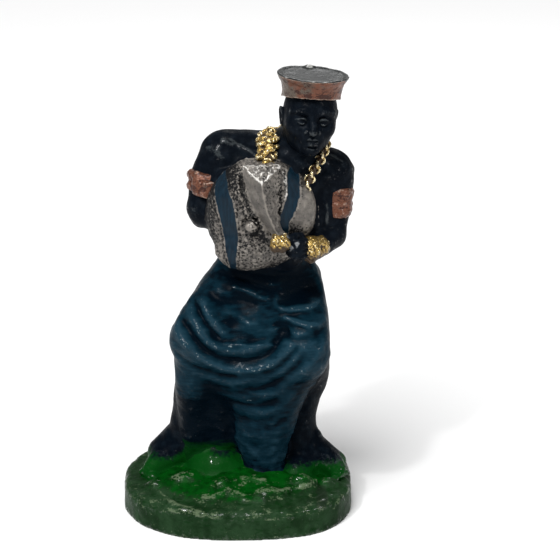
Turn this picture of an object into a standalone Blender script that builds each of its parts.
"""Cast and painted statue of an orisha warrior on an oval base, as one closed solid.

Metres, +Z up. The origin is the middle of the base's underside, and the figure faces -Y,
so its own right hand is on the -X side.

The figure is built up in clay: eggs, rolled lengths, lofts, rings and a turned cap, which are
fused into one skin, smoothed, and then carved with folds. Its places and radii are counted in
parts, of which 140 make the figure's height above the base. The base has sizes of its own.
"""

import math

import bmesh
import bpy
import numpy as np
from mathutils import Euler, Matrix, Vector

# Base
BASE_LENGTH = 0.0782
BASE_DEPTH = 0.0642
BASE_HEIGHT = 0.0100
BASE_EDGE = 0.0021
MOUND_RISE = 0.0064
MOUND_SHARE = 0.94
ROUND_END = 2.05
BLUNT_END = 2.45

# Lumps of turf round the mound: x, y and half length in shares of the base's half length and
# half depth, and the height of each in shares of the mound's rise
TURF = (
    (-0.43, -0.38, 0.21, 0.97),
    (-0.10, -0.56, 0.23, 0.94),
    (0.26, -0.68, 0.23, 0.72),
    (0.54, -0.47, 0.21, 0.97),
    (-0.69, -0.38, 0.15, 0.45),
    (0.79, -0.34, 0.15, 0.44),
    (-0.31, 0.50, 0.23, 0.88),
    (0.23, 0.68, 0.23, 0.66),
    (0.66, 0.41, 0.21, 0.69),
)
TURF_WIDTH_SHARE = 0.62

# Figure
FIGURE_HEIGHT = 0.1400
PARTS_TALL = 140
PART = FIGURE_HEIGHT / PARTS_TALL

# Skin
VOXEL = 0.0008
SMOOTHING_ROUNDS = 3
TRIANGLES = 9400
FLOOR_SNAP = 0.00005


def spot(x, y, z):
    """A place on the figure, in parts from the middle of the base's rim plane."""
    return Vector((x, y, z)) * PART + Vector((0.0, 0.0, BASE_HEIGHT))


def clear_scene():
    """Removes every object, so that the scene holds only the statue."""
    for item in list(bpy.data.objects):
        bpy.data.objects.remove(item, do_unlink=True)


def egg(centre, radii, turn=(0.0, 0.0, 0.0)):
    """A lump of clay with three radii in parts, turned about X, Y and Z in degrees."""
    bpy.ops.mesh.primitive_uv_sphere_add(segments=28, ring_count=18, radius=1.0, location=spot(*centre))
    clay = bpy.context.object
    clay.scale = Vector(radii) * PART
    clay.rotation_euler = [math.radians(angle) for angle in turn]
    return [clay]


def limb(*stations):
    """A rolled length of clay through stations of x, y, z and radius in parts, with round ends."""
    curve = bpy.data.curves.new("limb", "CURVE")
    curve.dimensions = "3D"
    curve.resolution_u = 6
    curve.bevel_depth = PART
    curve.bevel_resolution = 5
    curve.use_fill_caps = True
    spline = curve.splines.new("BEZIER")
    spline.bezier_points.add(len(stations) - 1)
    for point, (x, y, z, radius) in zip(spline.bezier_points, stations):
        point.co = spot(x, y, z)
        point.radius = radius
        point.handle_left_type = point.handle_right_type = "AUTO"
    roll = bpy.data.objects.new("limb", curve)
    bpy.context.scene.collection.objects.link(roll)
    ends = [egg(station[:3], (station[3],) * 3)[0] for station in (stations[0], stations[-1])]
    return [roll, *ends]


def ring(centre, across, thickness, turn=(0.0, 0.0, 0.0)):
    """A ring of clay: its centre, the radius to the middle of its roll, and the roll's radius."""
    bpy.ops.mesh.primitive_torus_add(
        location=spot(*centre),
        rotation=[math.radians(angle) for angle in turn],
        major_radius=across * PART,
        minor_radius=thickness * PART,
        major_segments=36,
        minor_segments=12,
    )
    return [bpy.context.object]


def turned(profile, centre, turn):
    """A shape turned about its own Z from a profile of radius and height, outer side first."""
    mesh = bpy.data.meshes.new("turned")
    points = [(radius * PART, 0.0, height * PART) for radius, height in profile]
    mesh.from_pydata(points, [(i, i + 1) for i in range(len(points) - 1)], [])
    shape = bpy.data.objects.new("turned", mesh)
    bpy.context.scene.collection.objects.link(shape)
    shape.location = spot(*centre)
    shape.rotation_euler = [math.radians(angle) for angle in turn]
    screw = shape.modifiers.new("turn", "SCREW")
    screw.steps = screw.render_steps = 48
    screw.use_merge_vertices = True
    screw.merge_threshold = 0.00001
    return [shape]


def loft(rings):
    """A skin over closed rings of points, all of one count, with both ends closed."""
    shaped = bmesh.new()
    rows = [[shaped.verts.new(point) for point in row] for row in rings]
    for low, high in zip(rows, rows[1:]):
        for i, corner in enumerate(low):
            following = (i + 1) % len(low)
            shaped.faces.new((corner, low[following], high[following], high[i]))
    shaped.faces.new(list(reversed(rows[0])))
    shaped.faces.new(rows[-1])
    bmesh.ops.recalc_face_normals(shaped, faces=shaped.faces)
    mesh = bpy.data.meshes.new("loft")
    shaped.to_mesh(mesh)
    shaped.free()
    skin = bpy.data.objects.new("loft", mesh)
    bpy.context.scene.collection.objects.link(skin)
    return [skin]


def oval(x, y, z, half_width, half_depth, fullness=2.0, steps=48):
    """A closed ring round x, y at height z: fullness 2 is an ellipse, and more is squarer."""
    row = []
    for step in range(steps):
        angle = 2 * math.pi * step / steps
        cosine, sine = math.cos(angle), math.sin(angle)
        reach = (abs(cosine) ** fullness + abs(sine) ** fullness) ** (-1.0 / fullness)
        row.append(spot(x + half_width * reach * cosine, y + half_depth * reach * sine, z))
    return row


def swing(pieces, pivot, turn):
    """Turns pieces together about a pivot in parts, by degrees about X, Y and Z."""
    bpy.context.view_layer.update()
    middle = spot(*pivot)
    rotation = Euler([math.radians(angle) for angle in turn]).to_matrix().to_4x4()
    move = Matrix.Translation(middle) @ rotation @ Matrix.Translation(-middle)
    for piece in pieces:
        piece.matrix_world = move @ piece.matrix_world
    return pieces


def base():
    """The oval slab, blunter on the figure's left, with its mound and lumps of turf.

    The slab starts below the floor by its rounded edge, which is cut off there.
    """
    half_length, half_depth = BASE_LENGTH / 2, BASE_DEPTH / 2
    curve = bpy.data.curves.new("base", "CURVE")
    curve.dimensions = "2D"
    curve.fill_mode = "BOTH"
    curve.extrude = (BASE_HEIGHT - BASE_EDGE) / 2
    curve.bevel_depth = BASE_EDGE
    curve.bevel_resolution = 3
    spline = curve.splines.new("POLY")
    steps = 72
    spline.points.add(steps - 1)
    for step in range(steps):
        angle = 2 * math.pi * step / steps
        cosine, sine = math.cos(angle), math.sin(angle)
        fullness = BLUNT_END if cosine > 0 else ROUND_END
        reach = (abs(cosine) ** fullness + abs(sine) ** fullness) ** (-1.0 / fullness)
        x = (half_length - BASE_EDGE) * reach * cosine
        y = (half_depth - BASE_EDGE) * reach * sine
        spline.points[step].co = (x, y, 0.0, 1.0)
    spline.use_cyclic_u = True
    slab = bpy.data.objects.new("base", curve)
    bpy.context.scene.collection.objects.link(slab)
    slab.location.z = (BASE_HEIGHT - BASE_EDGE) / 2
    rises = [(0.0, 0.0, half_length * MOUND_SHARE, half_depth * MOUND_SHARE, MOUND_RISE)]
    for x, y, length, rise in TURF:
        lump = length * half_length
        rises.append((x * half_length, y * half_depth, lump, lump * TURF_WIDTH_SHARE, rise * MOUND_RISE))
    domes = []
    for x, y, length, width, rise in rises:
        bpy.ops.mesh.primitive_uv_sphere_add(segments=48, ring_count=24, radius=1.0)
        dome = bpy.context.object
        dome.location = (x, y, BASE_HEIGHT / 2)
        dome.scale = (length, width, BASE_HEIGHT / 2 + rise)
        domes.append(dome)
    return [slab, *domes]


def legs():
    """Thighs that spread from the hips, shins, feet that point outwards, and earth between."""
    right = (
        limb((4, 4, 68, 10), (-5.6, -5, 61, 10), (-12.6, -12, 54.0, 8.6))
        + limb((-12.6, -10, 53, 7.6), (-13.4, -3, 38, 7.2), (-15.4, 1, 24, 6.6), (-17.0, 2, 12, 7.0))
        + limb((-16.8, 3, 9, 7.0), (-22.0, 0.4, 7.4, 6.0), (-27.0, -2, 4.2, 4.4), (-29.4, -4, 2.4, 3.2))
        + limb((-20.5, 4, 10, 5.4), (-26.4, 3.6, 5.4, 4.6))
    )
    left = (
        limb((18, 4, 68, 10), (21.5, -6, 58, 9), (22.2, -14, 51, 8.4))
        + limb((23.2, -10, 49, 7.6), (23.4, -3, 38, 7.4), (20.8, 1, 23, 6.2), (21.2, 2, 9, 6.2))
        + limb((21.5, 2, 8, 6.2), (27.2, -0.6, 6.6, 5.4), (32.0, -2.6, 3.8, 4.2), (34, -4.6, 2.4, 3.2))
        + limb((23.5, 3, 11, 4.8), (29.4, 3, 6.6, 4.6), (33.8, 2.5, 2.4, 3.8))
    )
    toes = []
    for ball, way in (((-29.0, -4.4), (-0.75, -0.66)), ((33.4, -5.2), (0.70, -0.71))):
        for toe in range(4):
            aside = (toe - 1.5) * 1.7
            x = ball[0] + way[0] * 2.0 - way[1] * aside
            y = ball[1] + way[1] * 2.0 + way[0] * aside
            toes += egg((x, y, 1.9), (1.5, 1.5, 1.1))
    bank = egg((-9, -5, 2), (8, 6.4, 9)) + egg((20.6, -5, 2), (6, 7, 6.4))
    return right + left + toes + bank


def skirt():
    """The cloth over hips and thighs, down behind the legs, and before them as an apron.

    The apron spans from knee to knee and narrows to the panel that hangs on the mound.
    """
    hips = loft(
        [
            oval(11, 3.5, 78, 14.8, 10.2),
            oval(10.6, 3.0, 73, 17.2, 12.0),
            oval(8.2, 1.8, 66, 20.7, 14.4),
            oval(5.7, -0.4, 58, 24.7, 16.6, 2.1),
            oval(4.8, -1.4, 51, 26.0, 16.8, 2.2),
            oval(5.4, -0.8, 46, 24.8, 15.6, 2.2),
            oval(6.2, 0.8, 40, 21.6, 13.4, 2.1),
            oval(6.8, 2.4, 33, 18.6, 11.4),
        ]
    )
    between = loft(
        [
            oval(5.2, 1.6, 58, 20.5, 12.8),
            oval(6.2, 3.0, 44, 20.0, 12.2),
            oval(6.4, 3.8, 28, 17.0, 11.2),
            oval(6.6, 4.4, 12, 17.0, 10.8),
            oval(7.0, 4.6, -2, 19.0, 11.6),
        ]
    )
    apron = loft(
        [
            oval(5.0, -8.0, 54, 24.6, 11.8, 2.3),
            oval(5.2, -8.4, 48, 24.2, 11.8, 2.3),
            oval(5.2, -8.4, 43, 23.0, 11.2, 2.3),
            oval(4.9, -7.8, 38, 21.6, 10.6, 2.2),
            oval(4.2, -7.0, 31, 19.6, 10.0, 2.2),
            oval(4.2, -6.6, 24, 17.0, 10.0, 2.1),
            oval(6.4, -6.4, 18, 14.2, 10.0, 2.1),
            oval(9.2, -6.6, 12, 10.8, 9.8, 2.2),
            oval(10.0, -7.0, 4, 9.4, 10.0, 2.2),
            oval(10.2, -7.0, 0, 9.0, 9.6, 2.2),
        ]
    )
    lap = limb(
        (-9, -12.5, 51, 7.8),
        (3, -12.0, 47, 8.2),
        (12, -12.4, 47, 8.2),
        (22, -13.5, 48, 8.2),
    )
    waist_roll = swing(ring((11, 3.0, 76.4), 13.2, 1.8), (11, 3, 76.4), (3, 0, 0))
    waist_roll[0].scale.y = 0.72
    return hips + between + apron + lap + waist_roll


def torso():
    """Belly, chest, shoulders, back and neck of the forward leaning body."""
    shoulders = limb(
        (-4.0, 4.8, 111.4, 8.6),
        (8, 5.4, 110.8, 8.0),
        (19, 5.0, 109.0, 7.8),
        (29.6, 3.2, 105.6, 7.9),
    )
    neck = limb((15.6, 2.6, 111, 7.8), (19.6, -1.6, 116.5, 7.2), (22.2, -4.4, 122, 6.8))
    collar = egg((19.6, -0.8, 113.2), (10.2, 10.6, 6.8), (10, 10, 0))
    return (
        egg((11.3, 2.6, 80), (13.0, 8.8, 10))
        + egg((12.6, 0.8, 96), (16.0, 11.0, 15), (8, 7, 0))
        + egg((13.4, 0.6, 104), (17.2, 11.2, 11), (0, 9, 0))
        + egg((25.6, -1.6, 92), (7.4, 6.4, 11), (0, 6, 0))
        + egg((11.4, -4.4, 82), (11.5, 6.4, 8.5))
        + egg((-2.6, -3.4, 102), (6.4, 6.0, 7))
        + egg((12.8, 6.2, 103.5), (16.0, 8.4, 13), (6, 7, 0))
        + egg((4.4, 7.2, 100), (8.8, 5.6, 12), (0, 0, 10))
        + egg((21.2, 6.6, 97), (8.4, 5.6, 12), (0, 0, -10))
        + shoulders
        + neck
        + collar
    )


def head():
    """The head: skull, jaw, chin, cheeks, brow, nose, lips and ears, set at the head's tilt."""
    skull, jaw, chin = (23.8, -6.4, 128), (23.6, -8.6, 121.6), (23.6, -14.0, 118.2)
    pieces = egg(skull, (8.6, 9.8, 11.2)) + egg(jaw, (6.6, 7.6, 6.6)) + egg(chin, (2.9, 2.6, 2.5))
    for side in (-1, 1):
        pieces += egg((23.6 + 4.2 * side, -11.9, 124.6), (3.4, 3.2, 3.2))
        pieces += egg((23.6 + 8.3 * side, -5.2, 126.4), (1.4, 2.5, 3.3))
    pieces += limb((18.6, -13.9, 130.4, 1.4), (23.6, -15.9, 131, 1.5), (28.6, -13.9, 130.4, 1.4))
    pieces += limb((23.6, -15.8, 129.6, 1.0), (23.6, -17.4, 126.4, 1.3), (23.6, -17.6, 124.8, 1.8))
    pieces += egg((23.6, -15.9, 121.8), (2.7, 1.3, 0.9)) + egg((23.6, -15.6, 120.3), (2.3, 1.4, 0.9))
    return swing(pieces, (23.8, -6.4, 126), (3, 5, 7))


def cap():
    """The brimless cap: a band that flares to a rolled rim round a dished top."""
    band = [(9.1, -0.5), (9.4, 0.2), (9.3, 1.2), (9.5, 3.0), (10.0, 5.4), (10.9, 7.0)]
    top = [(11.1, 7.9), (10.6, 8.3), (9.6, 7.7), (7, 7.3), (0, 7.3)]
    profile = [*reversed(top), *reversed(band), (0, band[0][1])]
    knot = limb((22.8, 2.0, 139.6, 1.0), (24.6, 2.4, 140.4, 0.9))
    return turned(profile, (24.5, -7.6, 132.2), (1, 4, 0)) + knot


def necklace():
    """The thick chain round the neck: fat links at the figure's right, slimmer at its left."""
    path = [
        (22.3, -12.4, 103.4, 1.6),
        (24.3, -11.2, 108, 1.8),
        (27.2, -8.0, 113, 1.9),
        (28.9, -2.6, 116.6, 2.0),
        (27.0, 4.8, 118.4, 2.1),
        (20.6, 9.2, 119.8, 2.2),
        (14.2, 6.6, 121.0, 2.6),
        (11.4, 0.4, 121.4, 3.1),
        (11.2, -5.0, 119.4, 3.4),
        (11.2, -9.0, 115.2, 3.2),
        (11.8, -12.0, 110.6, 2.7),
        (12.6, -13.4, 107.4, 2.2),
    ]
    links = []
    lean = 24
    for start, end in zip(path, path[1:]):
        along = Vector(end[:3]) - Vector(start[:3])
        way = [math.degrees(angle) for angle in along.to_track_quat("X", "Z").to_euler()]
        for share in (0.25, 0.75):
            middle = Vector(start[:3]).lerp(Vector(end[:3]), share)
            thick = start[3] + (end[3] - start[3]) * share
            radii = (along.length * 0.31, thick, thick * 0.85)
            links += egg(middle, radii, (way[0] + lean, way[1], way[2]))
            lean = -lean
    return links + limb(*[(x, y, z, 0.6 * radius) for x, y, z, radius in path])


def right_arm():
    """The arm that holds the shield from behind, with its two-rolled copper armband."""
    upper = limb((-5.2, 4.4, 110.2, 8.5), (-9.2, 2.2, 103, 6.4), (-9.8, -0.2, 94.4, 6.0))
    lower = limb((-9.8, -0.4, 94.2, 5.8), (-3, -4.6, 91.6, 4.7), (5, -8, 93, 4.0))
    rolls = ring((-9.6, 1.6, 104.8), 4.9, 2.1, (-12, 14, 0))
    rolls += ring((-9.8, 1.0, 100.8), 4.9, 1.9, (-12, 8, 0))
    return upper + lower + rolls


def left_arm():
    """The arm that carries the sword across the body, with armband, cuff and fist."""
    upper = limb((30.2, 3.0, 105.6, 7.8), (33.2, 0.8, 96, 5.0), (32.8, -1.6, 85.6, 4.8))
    lower = limb((32.8, -1.8, 85.2, 4.7), (29.6, -7.2, 83.2, 4.1), (25.4, -12, 84.2, 3.5))
    band = limb((33.0, 1.0, 99.6, 6.0), (33.0, 0.4, 96, 5.7), (33.0, -0.2, 92.4, 6.0))
    cuff = limb((28.6, -9.2, 83.0, 4.6), (26.8, -11.0, 83.6, 4.9), (24.8, -12.8, 84.0, 5.0))
    hand = egg((20.8, -16.2, 86.2), (3.6, 3.6, 4.0), (0, 20, 0))
    for finger in range(4):
        knuckle = 88.6 - 1.6 * finger
        hand += limb(
            (22.6, -18.2, knuckle, 1.05),
            (20.4, -19.8, knuckle + 0.3, 1.05),
            (18.6, -18.8, knuckle + 0.6, 1.0),
        )
    return upper + lower + band + cuff + hand


def sword():
    """The broad blade, diamond in section and wider to its cut end, with its gold guard."""
    # middle x, y, z, half width to -X, half width to +X, and height of the ridge
    stations = (
        (15.6, -19.0, 88.4, 2.2, 1.8, 1.6),
        (13.0, -19.8, 93.4, 3.0, 2.0, 2.2),
        (10.8, -20.0, 98.6, 4.0, 3.4, 2.9),
        (9.4, -19.6, 104.0, 5.2, 5.0, 3.4),
        (8.8, -18.6, 109.6, 6.0, 6.0, 3.6),
        (8.6, -17.2, 113.6, 6.0, 6.0, 1.6),
    )
    blade = []
    for x, y, z, right, left, ridge in stations:
        edges = spot(x - right, y + 1, z), spot(x + left, y + 1, z)
        blade.append([edges[0], spot(x, y - ridge, z - 0.5), edges[1], spot(x, y + 4, z)])
    guard = egg((14.9, -20.0, 88.9), (3.7, 3.2, 3.1), (0, 25, 0))
    pommel = egg((13.4, -20.6, 87.0), (2.2, 2.0, 1.8))
    return loft(blade) + guard + pommel


def shield():
    """The domed shield before the chest, with its rim, boss, side lobe and lower bulge."""
    dome = egg((8.0, -9.6, 95.0), (17.0, 8.4, 18.8), (8, 14, 0))
    rim = egg((8.2, -7.6, 95.2), (17.6, 5.0, 19.2), (8, 14, 0))
    lobe = egg((20.6, -11.6, 96.8), (5.4, 5.4, 8.6), (0, 8, 0))
    lower = egg((3.4, -11.6, 84.6), (9.6, 6.2, 7.6), (0, -12, 0))
    upper = egg((11.6, -13.2, 108.2), (6.4, 4.4, 5.2))
    boss = egg((5.4, -18.4, 91.6), (2.5, 2.0, 2.6))
    return dome + rim + lobe + lower + upper + boss


# Folds of the skirt's front: x, z of one end, x, z of the other, sag, width, and height out
FRONT_FOLDS = (
    (-4, 73, 17, 69, 1.5, 1.5, -1.3),
    (-7, 68, 12, 62, 2.5, 1.9, -1.6),
    (-4, 70.5, 13, 65, 2.0, 1.2, 0.9),
    (-12, 64, 12, 50, 3.0, 1.5, 1.2),
    (-14, 61, 8, 46, 5.0, 1.8, -1.7),
    (-17, 58, 18, 52, 10.5, 1.7, 1.4),
    (-19, 55, 18, 51, 13.5, 1.9, -2.1),
    (-20, 51, 26, 52, 14.5, 1.7, 1.4),
    (-17, 42, 28, 47, 9.0, 1.6, -1.5),
    (-16, 38, 27, 42, 8.5, 1.5, 1.1),
    (-12, 33, 26, 37, 8.0, 1.5, -1.3),
    (-8, 28, 24, 32, 7.0, 1.4, 0.9),
    (-2, 21, 21, 26, 5.0, 1.4, -1.2),
    (1, 15, 20, 19, 4.0, 1.3, -0.9),
)


def fade(value, start, end):
    """A share that goes from 0 at start to 1 at end, and stays there."""
    return np.clip((value - start) / (end - start), 0, 1)


def swag(x, z, ends, sag):
    """Distance above a hanging fold, and the share of its span, for places x, z in parts.

    The fold hangs between its ends, an x and a z each, and sinks by sag in its middle.
    """
    start_x, start_z, end_x, end_z = ends
    share = (x - start_x) / (end_x - start_x)
    line = start_z + (end_z - start_z) * share - 4 * sag * share * (1 - share)
    slope = (end_z - start_z - 4 * sag * (1 - 2 * share)) / (end_x - start_x)
    return (z - line) / np.sqrt(1 + slope**2), share


def carve(places, normals):
    """How far each place on the skin moves along its normal, all in parts."""
    x, y, z = places.T
    cloth = fade(z, 77, 74) * fade(z, 4, 8)
    front = fade(-normals[:, 1], -0.16, 0.47) * fade(-y, -1, 5) * cloth
    moved = np.zeros(len(places))
    for *ends, sag, width, height in FRONT_FOLDS:
        above, share = swag(x, z, ends, sag)
        taper = fade(share, 0, 0.14) * fade(share, 1, 0.86)
        moved += height * np.exp(-((above / width) ** 2)) * taper * front
    pocket = ((x - 20) / 7) ** 2 + ((z - 63) / 6) ** 2
    moved -= 3.0 * np.exp(-pocket) * front
    behind = fade(y, 4, 9) * fade(normals[:, 1], -0.12, 0.5)
    spread = (x - 8) / (10.5 + 0.10 * (76 - z))
    moved += 1.1 * np.sin(7.5 * spread + 0.02 * z) * behind * cloth
    spine = np.exp(-(((x - 13) / 2.2) ** 2)) * fade(z, 78, 86) * fade(z, 112, 106)
    moved -= 1.6 * spine * behind
    return moved


def fuse(pieces):
    """Joins the lumps of clay into one object and returns it, with one closed skin."""
    bpy.context.view_layer.update()
    graph = bpy.context.evaluated_depsgraph_get()
    whole = bmesh.new()
    for piece in pieces:
        mesh = bpy.data.meshes.new_from_object(piece.evaluated_get(graph))
        mesh.transform(piece.matrix_world)
        whole.from_mesh(mesh)
        bpy.data.meshes.remove(mesh)
    for piece in pieces:
        bpy.data.objects.remove(piece, do_unlink=True)
    bmesh.ops.remove_doubles(whole, verts=whole.verts, dist=0.000001)
    bmesh.ops.recalc_face_normals(whole, faces=whole.faces)
    mesh = bpy.data.meshes.new("clay")
    whole.to_mesh(mesh)
    whole.free()
    clay = bpy.data.objects.new("clay", mesh)
    bpy.context.scene.collection.objects.link(clay)
    remesh = clay.modifiers.new("skin", "REMESH")
    remesh.mode = "VOXEL"
    remesh.voxel_size = VOXEL
    smooth = clay.modifiers.new("smooth", "SMOOTH")
    smooth.factor = 0.5
    smooth.iterations = SMOOTHING_ROUNDS
    return clay


def carved(clay):
    """The fused skin with its folds cut in, as a mesh."""
    bpy.context.view_layer.update()
    graph = bpy.context.evaluated_depsgraph_get()
    mesh = bpy.data.meshes.new_from_object(clay.evaluated_get(graph))
    count = len(mesh.vertices)
    places, normals = np.empty(count * 3), np.empty(count * 3)
    mesh.vertices.foreach_get("co", places)
    mesh.vertex_normals.foreach_get("vector", normals)
    places, normals = places.reshape(-1, 3), normals.reshape(-1, 3)
    parts = (places - [0.0, 0.0, BASE_HEIGHT]) / PART
    places = places + normals * (carve(parts, normals) * PART)[:, None]
    mesh.vertices.foreach_set("co", places.ravel())
    mesh.update()
    bpy.data.objects.remove(clay, do_unlink=True)
    return mesh


def thinned(mesh):
    """The mesh with its triangles thinned to the number wanted, most where it is flat."""
    coarse = bpy.data.objects.new("coarse", mesh)
    bpy.context.scene.collection.objects.link(coarse)
    mesh.calc_loop_triangles()
    thin = coarse.modifiers.new("thin", "DECIMATE")
    thin.ratio = min(1.0, TRIANGLES / len(mesh.loop_triangles))
    bpy.context.view_layer.update()
    graph = bpy.context.evaluated_depsgraph_get()
    made = bpy.data.meshes.new_from_object(coarse.evaluated_get(graph))
    bpy.data.objects.remove(coarse, do_unlink=True)
    return made


def stand(mesh):
    """Centres the mesh over the origin and cuts its underside flat on the floor."""
    places = np.empty(len(mesh.vertices) * 3)
    mesh.vertices.foreach_get("co", places)
    places = places.reshape(-1, 3)
    middle = (places.min(axis=0) + places.max(axis=0)) / 2
    mesh.transform(Matrix.Translation((-middle[0], -middle[1], 0.0)))
    shaped = bmesh.new()
    shaped.from_mesh(mesh)
    cut = bmesh.ops.bisect_plane(
        shaped,
        geom=[*shaped.verts, *shaped.edges, *shaped.faces],
        dist=FLOOR_SNAP,
        plane_co=(0, 0, 0),
        plane_no=(0, 0, 1),
        clear_inner=True,
    )
    for corner in shaped.verts:
        if corner.co.z < FLOOR_SNAP:
            corner.co.z = 0
    edges = [item for item in cut["geom_cut"] if isinstance(item, bmesh.types.BMEdge)]
    bmesh.ops.contextual_create(shaped, geom=edges)
    bmesh.ops.recalc_face_normals(shaped, faces=shaped.faces)
    shaped.to_mesh(mesh)
    shaped.free()
    return mesh


def painted(colour, roughness):
    """The paint of the whole cast: most of it is black skin and dark blue cloth."""
    paint = bpy.data.materials.new("painted_cast")
    paint.use_nodes = True
    shader = paint.node_tree.nodes["Principled BSDF"]
    shader.inputs["Base Color"].default_value = (*colour, 1.0)
    shader.inputs["Roughness"].default_value = roughness
    shader.inputs["Metallic"].default_value = 0.0
    return paint


def main():
    """Builds the statue as one object in a collection of its own."""
    clear_scene()
    pieces = base() + legs() + skirt() + torso() + head() + cap() + necklace()
    pieces += right_arm() + left_arm() + shield() + sword()
    mesh = stand(thinned(carved(fuse(pieces))))
    mesh.name = "orisha_statue"
    mesh.materials.clear()
    mesh.materials.append(painted((0.018, 0.045, 0.065), 0.35))
    statue = bpy.data.objects.new("orisha_statue", mesh)
    collection = bpy.data.collections.new("orisha statue")
    bpy.context.scene.collection.children.link(collection)
    collection.objects.link(statue)
    mesh.shade_smooth()
    mesh.set_sharp_from_angle(angle=math.radians(50))


main()
